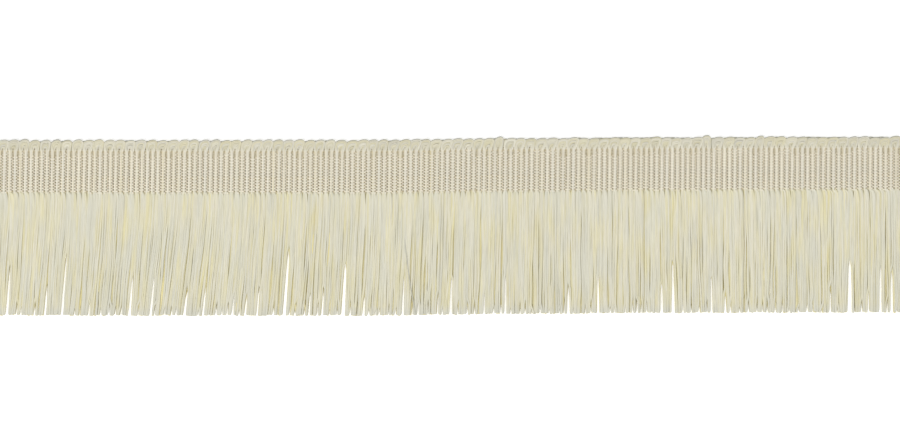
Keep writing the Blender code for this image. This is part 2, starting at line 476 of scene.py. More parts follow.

# Colours and surfaces of the yarns. The flank shade colour is painted shade, darker and yellower, on their
# flanks
YARN_LOOKS = {
    "fringe_yarn": {
        "ivory": (0.785, 0.753, 0.607),
        "grey": (0.73, 0.72, 0.61),
        "cream": (0.80, 0.73, 0.38),
        "flank_shade": (0.85, 0.75, 0.28),
        "roughness": 0.6,
        "sheen": 0.2,
        "streak": 0.18,
    },
    # inner layers: yellower colours that paint the warm shade between the front yarns
    "fringe_inner_yarn": {
        "ivory": (0.87, 0.805, 0.51),
        "grey": (0.83, 0.775, 0.52),
        "cream": (0.87, 0.765, 0.34),
        "flank_shade": (0.90, 0.775, 0.29),
        "roughness": 0.6,
        "sheen": 0.2,
        "streak": 0.12,
    },
    "looped_yarn": {
        "ivory": (0.82, 0.79, 0.67),
        # dark grey of the painted shadow along the crests of the loops
        "grey": (0.21, 0.23, 0.195),
        "cream": (0.78, 0.725, 0.49),
        "flank_shade": (0.80, 0.75, 0.58),
        "roughness": 0.65,
        "sheen": 0.2,
        "streak": 0.07,
    },
    "rib_yarn": {
        "ivory": (0.83, 0.792, 0.68),
        "grey": (0.79, 0.765, 0.68),
        "cream": (0.775, 0.65, 0.31),
        "flank_shade": (0.785, 0.68, 0.40),
        "roughness": 0.7,
        "sheen": 0.2,
        "streak": 0.08,
    },
    "warp_thread": {
        "ivory": (0.87, 0.82, 0.695),
        "grey": (0.83, 0.80, 0.69),
        "cream": (0.775, 0.60, 0.22),
        "flank_shade": (0.83, 0.715, 0.42),
        "roughness": 0.7,
        "sheen": 0.1,
        "streak": 0.06,
    },
}
ROUGHNESS_SWING = 0.08
SHEEN_ROUGHNESS = 0.5
YARN_SPECULAR = 0.25
BUMP_DEPTH = 0.05 * MM

# Filaments of the yarns: grain, and the part of it that darkens them
FILAMENT_STRETCH = (0.16, 2.6, 2.6)
FILAMENT_SCALE = 1.6
FILAMENT_DETAIL = 3.0
FILAMENT_RANGE = (0.3, 0.7)
FILAMENT_BUMP = 0.35

# Where the painted shade on a yarn's flank begins and ends, as cosines, and how much of its colour it gets
FLANK_RANGE = (0.6, 1.0)
FLANK_MOST = 0.6

# Surface of the heading's ground, dark tan: partly the inner threads' colour, partly painted shade between
# the ribs
GROUND_COLOURS = ((0.28, 0.18, 0.07), (0.40, 0.275, 0.13))
GROUND_STRETCH = (900.0, 2400.0, 900.0)
GROUND_SCALE = 1.0
GROUND_BUMP = 0.4
GROUND_ROUGHNESS = 0.8
GROUND_SPECULAR = 0.2

# Inputs and output of a node that mixes colours
MIX_INPUTS = (0, 6, 7)
MIX_OUTPUT = 2

# Table, room, lights and camera
WHITE = (1.0, 1.0, 1.0, 1.0)
TABLE_HALF = 3.0
TABLE_Z = -0.05 * MM
TABLE_COLOUR = (0.9, 0.9, 0.9, 1.0)
TABLE_ROUGHNESS = 0.9
TABLE_GLOW = 0.35
ROOM_STRENGTH = 0.63
LIGHT_ROWS = (
    # name, place, size, energy, colour
    ("key_light", (-0.5, -1.1, 1.3), 0.8, 16.0, (1.0, 0.99, 0.97)),
    ("fill_light", (0.6, 0.8, 1.5), 1.2, 6.0, (0.97, 0.98, 1.0)),
)
LENS = 100.0

# Seeds of the random draws
SEED = 11
NOTCH_SEED = SEED + 5
LAYER_SEEDS = (SEED, SEED + 10, SEED + 20)
RIB_SEED = SEED + 50
RIB_RISE_SEED = SEED + 51
WARP_SEED = SEED + 60
CLIMB_SEED = SEED + 70
SUNK_FROM_SEED = SEED + 71
SUNK_BELOW_SEED = SEED + 72
LOOP_SEED = SEED + 80


def smooth(share):
    """Shares from 0 to 1, eased at both ends."""
    return share * share * (3 - 2 * share)


def eased(rows, x, column=1):
    """One column of rows at x, eased between the rows on either side, in metres."""
    places = np.array([row[0] for row in rows])
    values = np.array([row[column] for row in rows])
    x_mm = np.clip(np.asarray(x) / MM, places[0], places[-1])
    index = np.clip(np.searchsorted(places, x_mm, side="right") - 1, 0, len(places) - 2)
    share = smooth((x_mm - places[index]) / (places[index + 1] - places[index]))
    return (values[index] + (values[index + 1] - values[index]) * share) * MM


heading_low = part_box("heading")[0]
TRIM_OFFSET = np.array((heading_low.x + TRIM_LENGTH / 2, heading_low.y - LOWEST_BOW, 0.0))


def placed(points):
    """Points of the straight trim, moved to where the bent trim lies in the frame."""
    moved = np.array(points, float)
    moved[..., 1] += eased(BOW_ROWS, moved[..., 0])
    return moved + TRIM_OFFSET


def rib_line(ribs_along, y):
    """Where the line that is ribs_along ribs from the left end lies at y."""
    x = np.asarray(ribs_along) * RIB_PITCH - TRIM_LENGTH / 2
    slant = eased(RIB_ROWS, x, 2) * (np.asarray(y) / HEADING_WIDTH - 0.5)
    return x + eased(RIB_ROWS, x) + slant


def rib_spread(y):
    """How much wider than below the ribs are at y. They widen towards the loops."""
    share = np.clip((np.asarray(y) - RIB_SPREAD_START) / (HEADING_WIDTH - RIB_SPREAD_START), 0, 1)
    return 1 + RIB_SPREAD * share


def linked(name, data):
    """A new object in the scene that holds data."""
    item = bpy.data.objects.new(name, data)
    bpy.context.scene.collection.objects.link(item)
    return item


def closed_mesh(name, rings):
    """A mesh of closed yarns with sharp ends. rings is yarns by points by sides by 3."""
    yarns, points, sides, _ = rings.shape
    index = np.arange(yarns * points * sides).reshape(yarns, points, sides)
    following = np.roll(index, -1, axis=2)
    quads = np.stack((index[:, :-1], index[:, 1:], following[:, 1:], following[:, :-1]), axis=-1)
    quads = quads.reshape(-1, 4)
    caps = np.concatenate((index[:, 0], index[:, -1, ::-1]))
    corners = np.concatenate((quads.ravel(), caps.ravel()))
    starts = np.concatenate((np.arange(len(quads)) * 4, quads.size + np.arange(len(caps)) * sides))
    mesh = bpy.data.meshes.new(name)
    mesh.vertices.add(index.size)
    mesh.vertices.foreach_set("co", rings.ravel())
    mesh.loops.add(len(corners))
    mesh.loops.foreach_set("vertex_index", corners.astype(np.int32))
    mesh.polygons.add(len(starts))
    mesh.polygons.foreach_set("loop_start", starts.astype(np.int32))
    mesh.polygons.foreach_set("use_smooth", np.arange(len(starts)) < len(quads))
    mesh.update(calc_edges=True)
    edges = np.empty(len(corners), np.int32)
    mesh.loops.foreach_get("edge_index", edges)
    sharp = np.zeros(len(mesh.edges), bool)
    sharp[edges[quads.size :]] = True
    mesh.attributes.new("sharp_edge", "BOOLEAN", "EDGE").data.foreach_set("value", sharp)
    mesh.validate()
    return mesh


def add_attribute(mesh, name, vectors):
    """Stores one vector for every point of the mesh."""
    attribute = mesh.attributes.new(name, "FLOAT_VECTOR", "POINT")
    attribute.data.foreach_set("vector", np.ascontiguousarray(vectors).ravel())


def tubes(name, paths, widths, heights, sides, tones):
    """One piece of closed yarns. paths is yarns by points by 3, widths and heights are yarns by points.

    It stores two attributes for the material: yarn_place, which is the length along the yarn in mm with the
    cosine and sine of the angle around it, and yarn_tone, which is the yarn's tint with its painted shade.
    tones is yarns by points by 3, or yarns by points by sides by 3.
    """
    yarns, points, _ = paths.shape
    tangents = np.gradient(paths, axis=1)
    tangents /= np.linalg.norm(tangents, axis=2, keepdims=True)
    across = np.cross(tangents, (0.0, 0.0, 1.0))
    across /= np.linalg.norm(across, axis=2, keepdims=True)
    over = np.cross(across, tangents)
    angles = ring_angles(sides)
    cosines = np.cos(angles)[None, None, :, None]
    sines = np.sin(angles)[None, None, :, None]
    rings = (
        paths[:, :, None, :]
        + across[:, :, None, :] * cosines * widths[:, :, None, None] / 2
        + over[:, :, None, :] * sines * heights[:, :, None, None] / 2
    )
    mesh = closed_mesh(name, rings)
    steps = np.linalg.norm(np.diff(paths, axis=1), axis=2)
    along = np.concatenate((np.zeros((yarns, 1)), np.cumsum(steps, axis=1)), axis=1) / MM
    place = np.empty((yarns, points, sides, 3))
    place[..., 0] = (along + np.arange(yarns)[:, None] * GRAIN_STEP)[:, :, None]
    place[..., 1] = np.cos(angles)
    place[..., 2] = np.sin(angles)
    add_attribute(mesh, "yarn_place", place)
    tones = tones if tones.ndim == rings.ndim else tones[:, :, None, :]
    add_attribute(mesh, "yarn_tone", np.broadcast_to(tones, rings.shape))
    return linked(name, mesh)


def ring_angles(sides):
    """Angles around a yarn. The first one points down, and the cosine is positive on the yarn's right."""
    return (np.arange(sides) / sides - 0.25) * math.tau


def varied(draw, yarns):
    """One number for every yarn, near zero. Neighbours are alike over several distances."""
    total = np.zeros(yarns)
    for reach, strength in TONE_BANDS:
        noise = draw.normal(0, 1, yarns + reach - 1)
        total += strength * np.convolve(noise, np.full(reach, reach**-0.5), mode="valid")
    return total


def yarn_tones(draw, yarns, points, shade=1.0, cream=0.0):
    """Tint of every yarn: its share of grey, its share of cream, and its shade. Neighbours are alike."""
    tones = np.empty((yarns, points, 3))
    middle, spread = GREY_TONE
    tones[..., GREY] = np.clip(middle + spread * varied(draw, yarns), 0, MOST_TINT)[:, None]
    middle, spread = CREAM_TONE
    middle += LAYER_CREAM * cream
    tones[..., CREAM] = np.clip(middle + spread * varied(draw, yarns), 0, MOST_TINT)[:, None]
    middle, spread = SHADE_TONE
    tones[..., SHADE] = shade * (middle + spread * varied(draw, yarns))[:, None]
    return tones


def parting_rows():
    """The partings and the small notches between them, in order along the trim: place, width, height."""
    draw = np.random.default_rng(NOTCH_SEED)
    rows = np.array(PARTING_ROWS) * (1, PARTING_WIDTH_SHARE, PARTING_HEIGHT_SHARE) * MM
    places = np.arange(-TRIM_LENGTH / 2, TRIM_LENGTH / 2, NOTCH_STEP)
    places += draw.uniform(-NOTCH_SWING, NOTCH_SWING, len(places)) * NOTCH_STEP
    widths = draw.uniform(*NOTCH_WIDTH, len(places)) * MM
    heights = draw.uniform(*NOTCH_HEIGHT, len(places)) * MM
    clear = np.abs(places[:, None] - rows[None, :, 0]).min(axis=1) > NOTCH_ROOM
    rows = np.concatenate((rows, np.stack((places, widths, heights), axis=1)[clear]))
    return rows[np.argsort(rows[:, 0])]


class Partings:
    """The openings that run through all the layers of the fringe, in order along the trim.

    hem holds their places at the hem, free their places without the lean, lean the difference, and start the
    share of the way down at which they open. A closed one stands beyond each end.
    """

    def __init__(self, rows):
        self.hem = np.concatenate(((-TRIM_LENGTH,), rows[:, 0], (TRIM_LENGTH,)))
        self.width = np.concatenate(((0.0,), rows[:, 1], (0.0,)))
        self.start = np.concatenate(((0.0,), 1 - rows[:, 2] / SKIRT_DROP, (0.0,)))
        self.free = self.hem
        for _ in range(LEAN_ROUNDS):
            self.free = self.hem - eased(LEAN_ROWS, self.free)
        self.lean = self.hem - self.free

    def beside(self, hem_x):
        """Index of the parting on the left of every place."""
        return np.clip(np.searchsorted(self.hem, hem_x) - 1, 0, len(self.hem) - 2)

    def progress(self, which, share):
        """How far down the partings each share of the way is: 0 where they open and 1 at the hem."""
        start = self.start[which][:, None]
        return (share[None, :] - start) / (1 - start)

    def half_opening(self, which, share):
        """Half the width of the partings at each share of the way down."""
        opened = np.clip(self.progress(which, share), 0, 1) ** PARTING_POWER
        return self.width[which][:, None] / 2 * opened

    def lip(self, which, share, side):
        """Course of the left lips at side -1, or of the right ones at side 1. They give way where closed."""
        middle = self.free[which][:, None] + self.lean[which][:, None] * share[None, :] ** LEAN_POWER
        shut = 1 - np.clip(self.progress(which, share) * SHUT_RATE, 0, 1)
        return middle + side * (self.half_opening(which, share) - shut * SHUT_ROOM)


partings = Partings(parting_rows())


def major_push(hem_x, share):
    """How far the partings push the yarns that lie at hem_x at the hem."""
    left = partings.beside(hem_x)
    right = left + 1
    across = ((hem_x - partings.hem[left]) / (partings.hem[right] - partings.hem[left]))[:, None]
    return (1 - across) * partings.half_opening(left, share) - across * partings.half_opening(right, share)


def kept_between(draw, x, hem_x, share, width):
    """The courses x of yarns, kept off the openings on both sides."""
    left = partings.beside(hem_x)
    inset = width / 2 + np.abs(draw.normal(0, LIP_NOISE, (len(hem_x), 1)))
    low = partings.lip(left, share, 1) + inset
    high = partings.lip(left + 1, share, -1) - inset
    middle = (low + high) / 2
    return np.clip(x, np.minimum(low, middle), np.maximum(high, middle))


def minor_push(draw, hem_x, share):
    """The push of the narrow partings that one layer has of its own, which open and close again."""
    places = draw.uniform(-TRIM_LENGTH / 2, TRIM_LENGTH / 2, MINOR_PARTINGS)
    widths = draw.uniform(*MINOR_WIDTH, MINOR_PARTINGS) * MM
    starts = draw.uniform(*MINOR_START, MINOR_PARTINGS)
    lengths = draw.uniform(*MINOR_LENGTH, MINOR_PARTINGS)
    push = np.zeros((len(hem_x), len(share)))
    for place, width, start, length in zip(places, widths, starts, lengths):
        progress = np.clip((share - start) / length, 0, 1)
        opening = width / 2 * np.sin(progress * math.pi) ** MINOR_POWER
        away = hem_x - place
        fade = np.clip(1 - np.abs(away) / MINOR_REACH, 0, 1) * np.sign(away)
        push += fade[:, None] * opening[None, :]
    return push


def layer_shares(points):
    """Where the points of a hanging yarn lie, as shares of its length."""
    even = np.linspace(ROOT_SHARES[-1], CUT_START, points - len(ROOT_SHARES))
    return np.concatenate((ROOT_SHARES[:-1], even, (1.0,)))


def rib_opening(draw, rib, share):
    """How far the yarns of each rib have spread to their free places. rib is the rib of every yarn."""
    below = share - SPREAD_START
    fast = np.clip(below / draw.uniform(*SPREAD_SHARES, (len(rib), 1)), 0, 1)
    slow = np.clip(below / draw.uniform(*SLIT_SHARES, RIB_COUNT)[rib][:, None], 0, 1)
    slit = draw.uniform(*SLIT_PARTS, RIB_COUNT)[rib][:, None]
    return (1 - slit) * smooth(fast) + slit * slow


def wandering(draw, rib, share):
    """Waves of the yarns to the side and upward, and the phases of the last ones."""
    sway = np.zeros((len(rib), len(share)))
    rise = np.zeros((len(rib), len(share)))
    for fewest, most, sideways, upward, shared in WANDERS:
        drawn = RIB_COUNT if shared else len(rib)
        phase = draw.uniform(0, math.tau, (2, drawn, 1))
        waves = draw.uniform(fewest, most, (2, drawn, 1))
        if shared:
            phase = phase[:, rib]
            waves = waves[:, rib]
        swing = np.sin(share * math.tau * waves[0] + phase[0]) - np.sin(phase[0])
        sway += sideways * MM * swing * share**WANDER_POWER
        rise += upward * MM * np.sin(share * math.tau * waves[1] + phase[1])
    return sway, rise, phase[0]


def drift(draw, yarns, share):
    """A slow wave along every yarn, between -1 and 1."""
    waves = draw.uniform(*DRIFT_WAVES, (yarns, 1))
    return np.sin(share * math.tau * waves + draw.uniform(0, math.tau, (yarns, 1)))


def layer_tones(draw, rib, lock, share, row, front):
    """Tints of one layer for every yarn, point and side. lock is each yarn's place in its lock."""
    _, _, _, _, _, points, sides, shade, cream = row
    yarns = len(rib)
    tones = RIB_TONE_SHARE * yarn_tones(draw, RIB_COUNT, points, shade, cream)[rib]
    tones += (1 - RIB_TONE_SHARE) * yarn_tones(draw, yarns, points, shade, cream)
    grey_drift = drift(draw, RIB_COUNT, share)[rib]
    cream_drift = drift(draw, yarns, share)
    shade_drift = drift(draw, yarns, share)
    flank_drift = drift(draw, yarns, share)
    tones[..., GREY] = np.clip(tones[..., GREY] + DRIFT_TINT * grey_drift, 0, MOST_TINT)
    tones[..., CREAM] = np.clip(tones[..., CREAM] + DRIFT_TINT * cream_drift, 0, MOST_TINT)
    tones[..., SHADE] *= 1 + DRIFT_SHADE * shade_drift
    # painted shade, darker just below the heading and towards the hem
    tones[..., SHADE] *= 1 - HEM_SHADE * share - TOP_SHADE * (1 - share) ** 2
    if not front:
        # painted shade: the roots of the inner layers darken and turn creamier
        root = np.clip(ROOT_STRENGTH * (1 - share / ROOT_REACH), 0, 1)
        tones[..., SHADE] *= 1 - ROOT_SHADE * root
        tones[..., CREAM] += (ROOT_CREAM - tones[..., CREAM]) * root
    cut = tones[:, -CUT_POINTS:]
    cut[..., GREY] = np.clip(cut[..., GREY] + CUT_GREY, 0, 1)
    cut[..., CREAM] *= 1 - CUT_GREY
    tones = np.repeat(tones[:, :, None, :], sides, axis=2)
    # painted shade: the outer flanks of a lock's side yarns turn creamier and darker, fading in and out
    # along them
    side = np.sign(lock) * (np.abs(lock) > LOCK_SIDE)
    outward = np.clip(-np.cos(ring_angles(sides)) * side[:, None], 0, 1)[:, None, :]
    strength = (LOCK_FLANK_TOP + (1 - LOCK_FLANK_TOP) * share) * (1 + flank_drift) / 2
    outward = outward * strength[:, :, None]
    tones[..., CREAM] += LOCK_FLANK_CREAM * outward * np.clip(1 - tones[..., CREAM], 0, 1)
    tones[..., SHADE] *= 1 - LOCK_FLANK_SHADE * outward
    return tones


def fringe_layer(row, seed):
    """One layer of the fringe, its yarns grown out of the ribs."""
    name, per_rib, shift, root_z, hem_z, points, sides, _, _ = row
    front = row is LAYER_ROWS[-1]
    draw = np.random.default_rng(seed)
    yarns = RIB_COUNT * per_rib
    rib = np.repeat(np.arange(RIB_COUNT), per_rib)
    lock = np.tile((np.arange(per_rib) + 0.5) / per_rib - 0.5, RIB_COUNT)
    place = lock + shift
    squeeze = draw.uniform(*LOCK_SQUEEZE, RIB_COUNT)[rib] if front else 0.0
    share = layer_shares(points)
    spread = rib_opening(draw, rib, share)
    root_x = rib_line(rib + 0.5, 0.0) + place * (RIB_YARN_STEP * YARNS_PER_RIB if front else RIB_PITCH)
    free_x = (rib + 0.5 + place) * RIB_PITCH - TRIM_LENGTH / 2
    lean = eased(LEAN_ROWS, free_x)
    hem_x = free_x + lean
    x = root_x[:, None] + (free_x - root_x)[:, None] * spread + lean[:, None] * share**LEAN_POWER
    x -= (lock * squeeze * RIB_PITCH)[:, None] * share
    x += major_push(hem_x, share) + minor_push(draw, hem_x, share)
    sway, rise, phase = wandering(draw, rib, share)
    askew = draw.random(yarns) < ASKEW_SHARE
    reach = draw.uniform(-1, 1, yarns) * ASKEW_REACH * askew
    x += sway + reach[:, None] * share**ASKEW_POWER
    width = YARN_WIDTH * draw.uniform(*YARN_WIDTHS, (yarns, 1))
    x = kept_between(draw, x, hem_x, share, width)
    z = (root_z + (hem_z - root_z) * np.clip(share / SETTLED_SHARE, 0, 1)) * MM + rise * spread
    if front:
        z += (RIB_CROWN * (1 - 2 * np.abs(place)))[:, None] * (1 - spread)
    z += draw.normal(0, HEIGHT_NOISE, (yarns, 1)) * spread
    z += ASKEW_LIFT * askew[:, None] * np.clip(share * ASKEW_LIFT_RATE, 0, 1)
    z = np.maximum(z, LOWEST_Z)
    drop = SKIRT_DROP + draw.normal(0, CUT_UNEVENNESS, yarns) + np.sin(hem_x / HEM_WAVE_SCALE) * HEM_WAVE
    y = ROOT_TUCK - share[None, :] * (drop[:, None] + ROOT_TUCK)
    paths = placed(np.stack((x, y, z), axis=2))
    swell = np.sin(share * math.tau * draw.uniform(*SWELL_WAVES, (yarns, 1)) + phase)
    widths = width * (1 + YARN_SWELL * swell)
    if front:
        widths = RIB_YARN_WIDTH + (widths - RIB_YARN_WIDTH) * spread
    heights = RIB_YARN_HEIGHT + (YARN_HEIGHT - RIB_YARN_HEIGHT) * spread
    tones = layer_tones(draw, rib, lock, share, row, front)
    return tubes(name, paths, widths, heights, sides, tones)


def stray_yarns():
    """Single yarns that lie slantwise over the fringe, grey and darker as painted shadow along their edge.
    """
    share = np.linspace(0, 1, STRAY_POINTS)
    start_x, start_y, hem_x, hem_y = (np.array(STRAY_ROWS) * MM).T[:, :, None]
    x = start_x + (hem_x - start_x) * share**STRAY_BEND
    y = start_y + (hem_y - start_y) * share
    z = STRAY_Z + (share - 1) ** STRAY_RISE_POWER * (STRAY_START_Z - STRAY_Z)
    paths = placed(np.stack((x, y, np.broadcast_to(z, x.shape)), axis=2))
    widths = np.full(x.shape, STRAY_WIDTH)
    heights = np.full(x.shape, YARN_HEIGHT)
    tones = np.broadcast_to(STRAY_TONE, paths.shape)
    return tubes("stray_yarns", paths, widths, heights, STRAY_SIDES, tones)


def ribs():
    """The stretches of yarn that make the ribs of the heading."""
    draw = np.random.default_rng(RIB_SEED)
    yarns = RIB_COUNT * YARNS_PER_RIB
    rib = np.repeat(np.arange(RIB_COUNT), YARNS_PER_RIB)
    place = np.tile(np.arange(YARNS_PER_RIB) - (YARNS_PER_RIB - 1) / 2, RIB_COUNT)
    y = np.linspace(-RIB_ROOT_LAP, HEADING_WIDTH - LOOP_FOOT + RIB_END_LAP, RIB_POINTS)[None, :]
    spread = rib_spread(y)
    rise = np.random.default_rng(RIB_RISE_SEED).uniform(*RIB_RISE, RIB_COUNT)[rib] * MM
    bow = np.sin(np.linspace(0, math.pi, RIB_POINTS))
    paths = np.empty((yarns, RIB_POINTS, 3))
    paths[..., 0] = rib_line(rib[:, None] + 0.5, y) + place[:, None] * RIB_YARN_STEP * spread
    paths[..., 1] = y
    paths[..., 2] = (RIB_YARN_Z + RIB_CROWN * (1 - np.abs(place)))[:, None] + rise[:, None] * bow
    sizes = np.ones((yarns, RIB_POINTS))
    sizes[:, -1] = RIB_END_SIZE
    widths = RIB_YARN_WIDTH * spread * sizes
    heights = RIB_YARN_HEIGHT * sizes
    tones = yarn_tones(draw, yarns, RIB_POINTS)
    tones[..., :SHADE] *= RIB_TINT
    tones = np.repeat(tones[:, :, None, :], RIB_SIDES, axis=2)
    # painted shade: the outer flanks of the side yarns are darker and creamier, like the recess beside a rib
    outward = np.clip(np.cos(ring_angles(RIB_SIDES)) * np.sign(place)[:, None], 0, 1)[:, None, :]
    tones[..., CREAM] += RIB_FLANK_CREAM * outward
    tones[..., SHADE] *= 1 - RIB_FLANK_SHADE * outward
    return tubes("rib_yarns", placed(paths), widths, heights, RIB_SIDES, tones)


def warp_knots(parity):
    """Course of a thread along the trim, a row for every point: ribs passed, lift, climb, tan, shade."""
    climbs = np.random.default_rng(CLIMB_SEED).uniform(*CLIMB_RANGE, RIB_COUNT) * MM
    knots = [(0.0, *AT_END)]
    for rib in range(RIB_COUNT):
        if rib % 2 == parity:
            for offset, lift, climb, tan, shade in CROSSING_ROWS:
                knots.append((rib + 0.5 + offset * MM / RIB_PITCH, lift, climb * climbs[rib], tan, shade))
        else:
            knots.append((rib + 0.5, *UNDER_RIB))
    knots.append((RIB_COUNT, *AT_END))
    knots = np.array(knots)
    return knots[(knots[:, 0] >= 0) & (knots[:, 0] <= RIB_COUNT)]


def edge_thread(seed, numbers, ribs_along):
    """Number of the thread at which the sinking ones end, drawn within numbers for every rib."""
    drawn = np.random.default_rng(seed).uniform(*numbers, RIB_COUNT + 1)
    return np.interp(ribs_along, np.arange(RIB_COUNT + 1), drawn)


def warps(parity, name):
    """Every second warp thread, which passes over the ribs of one parity and under the others."""
    draw = np.random.default_rng(WARP_SEED + parity)
    numbers = np.arange(parity, WARP_COUNT, 2)[:, None]
    ribs_along, lift, climb, tan, shade = warp_knots(parity).T
    threads, points = len(numbers), len(ribs_along)
    y = WARP_START + numbers * WARP_PITCH + climb + draw.normal(0, WARP_NOISE, (threads, points))
    x = rib_line(ribs_along, y)
    above = (numbers - edge_thread(SUNK_FROM_SEED, SUNK_FROM, ribs_along)) / SUNK_FADE
    below = edge_thread(SUNK_BELOW_SEED, SUNK_BELOW, ribs_along) - numbers + 0.5
    sink = np.clip(np.maximum(above, below), 0, 1)
    lift = lift + (SUNK_LIFT - lift) * sink
    z = WARP_UNDER_Z + (WARP_OVER_Z - WARP_UNDER_Z) * lift
    paths = placed(np.stack((x, y, z), axis=2))
    widths = WARP_WIDTH * (1 - WARP_THINNING * (1 - lift))
    heights = np.full((threads, points), WARP_HEIGHT)
    tones = yarn_tones(draw, threads, points)
    tones[..., GREY] *= WARP_GREY
    # tan and painted shade along each thread, from its course over the ribs and from sinking
    tones[..., CREAM] = tan + (SUNK_TAN - tan) * sink
    tones[..., SHADE] *= shade + (SUNK_SHADE - shade) * sink
    tones[..., SHADE] *= draw.uniform(*WARP_SHADES, (threads, points))
    return tubes(name, paths, widths, heights, WARP_SIDES, tones)


def loop_course(turn, half_foot, half_top, rise, power, overhang):
    """One turn of yarn in its own plane: x, y, and how far up its arch and to the right each point is."""
    angle = math.pi * (1 - turn)
    arch = np.clip(np.sin(angle), 0, 1) ** power
    side = np.cos(angle)
    side = np.sign(side) * np.abs(side) ** LOOP_SIDE_POWER
    widened = np.clip(arch * LOOP_WIDENING_RATE, 0, 1) ** LOOP_WIDENING_POWER
    half = half_foot + (half_top - half_foot) * widened
    x = side * half + overhang * arch
    y = rise * arch * (1 + LOOP_TILT * side)
    return x, y, arch, side


def loop_form(draw, middle, front):
    """Power, overhang, top and breadth of the loop that stands at middle."""
    power, overhang, notch, breadth = (float(eased(LOOP_ROWS, middle, column)) for column in range(1, 5))
    overhang *= draw.uniform(*LOOP_OVERHANGS)
    top = HEADING_WIDTH + LOOP_REACH - draw.uniform(*LOOP_DROPS) * MM
    if not front:
        top -= notch * draw.uniform(*LOOP_NOTCHES)
    breadth *= draw.uniform(*LOOP_BREADTHS) / MM
    spot = min(PROUD_LOOPS, key=lambda place: abs(middle - place))
    if front and abs(middle - spot) < RIB_PITCH:
        top += PROUD_RISE
        overhang = spot - middle
        breadth = PROUD_BREADTH
    return power / MM, overhang, top, breadth


def loop_tones(draw, turn, arch, front, outermost):
    """Tints of one turn of yarn, for every point and side, with painted shadow on the outer side of its
    crest.
    """
    crest = np.clip((np.sin(turn * math.pi) - CREST_START) / CREST_FADE, 0, 1)
    outer = np.clip(CREST_REACH - np.cos(ring_angles(LOOP_SIDES)), 0, 1)
    edge = outer[None, :] * crest[:, None]
    free = np.clip(arch * LOOP_TINT_RATE, 0, 1)[:, None]
    tones = np.empty((LOOP_POINTS, LOOP_SIDES, 3))
    # painted shadow: the outer side of the crest is mixed towards the dark grey
    tones[..., GREY] = draw.uniform(*LOOP_GREYS) + (OUTER_CREST_SHADE if outermost else INNER_CREST_SHADE) * edge
    tones[..., CREAM] = (draw.uniform(*LOOP_CREAMS) + (0.0 if front else BACK_LOOP_CREAM)) * free
    tones[..., SHADE] = draw.uniform(*LOOP_SHADES) * (1 - LOOP_SHADE * free)
    tones[..., :SHADE] = np.clip(tones[..., :SHADE], 0, 1)
    return tones


def loops():
    """The turns of the yarn along the upper edge. Every second loop lies over its neighbours."""
    draw = np.random.default_rng(LOOP_SEED)
    turn = np.linspace(0, 1, LOOP_POINTS)
    foot_y = HEADING_WIDTH - LOOP_FOOT
    foot_spread = float(rib_spread(foot_y))
    foot_width = RIB_YARN_WIDTH * foot_spread
    paths, widths, heights, tones = [], [], [], []
    for shift, level in LOOP_LAYERS:
        front = shift > 0
        for loop in range(LOOP_COUNT - front):
            ribs_along = loop * RIBS_PER_LOOP + 1 + shift
            middle = float(rib_line(ribs_along, HEADING_WIDTH))
            power, overhang, top, breadth = loop_form(draw, middle, front)
            foot_x = float(rib_line(ribs_along, foot_y)) - middle
            for yarn, (place, half, depth) in enumerate(LOOP_YARN_ROWS):
                half_foot = RIB_PITCH / 2 - RIB_YARN_STEP * place * foot_spread
                half_top = half * breadth * draw.uniform(*LOOP_YARN_HALVES) * MM
                rise = top - depth * draw.uniform(*LOOP_YARN_DEPTHS) * MM - foot_y
                x, y, arch, side = loop_course(turn, half_foot, half_top, rise, power, overhang)
                foot_z = RIB_YARN_Z + RIB_CROWN * (1 - abs(place)) if front else level * MM
                noise = LOOP_HEIGHT_NOISE * draw.uniform(-1, 1)
                free_z = (level + LOOP_RIGHT_RISE * side - LOOP_YARN_STEP_DOWN * yarn + noise) * MM
                free_height = LOOP_HEIGHT * (1 - LOOP_SIDE_THINNING * np.abs(side))
                seat = np.clip(arch * LOOP_SEAT_RATE, 0, 1)
                z = foot_z + (free_z - foot_z) * seat
                paths.append(np.stack((middle + x + foot_x * (1 - arch), foot_y + y, z), axis=1))
                widths.append(foot_width + (LOOP_WIDTH - foot_width) * seat)
                heights.append(RIB_YARN_HEIGHT + (free_height - RIB_YARN_HEIGHT) * seat)
                tones.append(loop_tones(draw, turn, arch, front, yarn == 0))
    paths = placed(np.array(paths))
    return tubes("loop_yarns", paths, np.array(widths), np.array(heights), LOOP_SIDES, np.array(tones))


def heading_ground():
    """The closed ribbed ground of the heading, under the threads."""
    rows = []
    for rib in range(RIB_COUNT):
        rows += [(rib + part, level * GROUND_HEIGHT) for part, level in GROUND_PROFILE]
    rows.append((RIB_COUNT, GROUND_END_Z))
    ribs_along, top = np.array(rows).T
    columns = len(rows)
    base = np.full(columns, GROUND_BASE_Z)
    section = ((GROUND_LOW_Y, base), (GROUND_LOW_Y, top), (GROUND_HIGH_Y, top), (GROUND_HIGH_Y, base))
    lines = []
    for y, z in section:
        lines.append(placed(np.stack((rib_line(ribs_along, y), np.full(columns, y), z), axis=1)))
    corners = range(len(section))
    faces = []
    for column in range(columns - 1):
        for corner in corners:
            here = corner * columns + column
            beyond = (corner + 1) % len(section) * columns + column
            faces.append((here, here + 1, beyond + 1, beyond))
    faces.append(tuple(corner * columns for corner in corners))
    faces.append(tuple(corner * columns + columns - 1 for corner in reversed(corners)))
    mesh = bpy.data.meshes.new("heading_ground")
    mesh.from_pydata(np.concatenate(lines).tolist(), [], faces)
    mesh.validate()
    mesh.shade_smooth()
    mesh.set_sharp_from_angle(angle=GROUND_CREASE)
    return linked("heading_ground", mesh)


def new_material(name):
    """A new material, its nodes, its links and its shader."""
    material = bpy.data.materials.new(name)
    material.use_nodes = True
    nodes = material.node_tree.nodes
    return material, nodes, material.node_tree.links, nodes["Principled BSDF"]


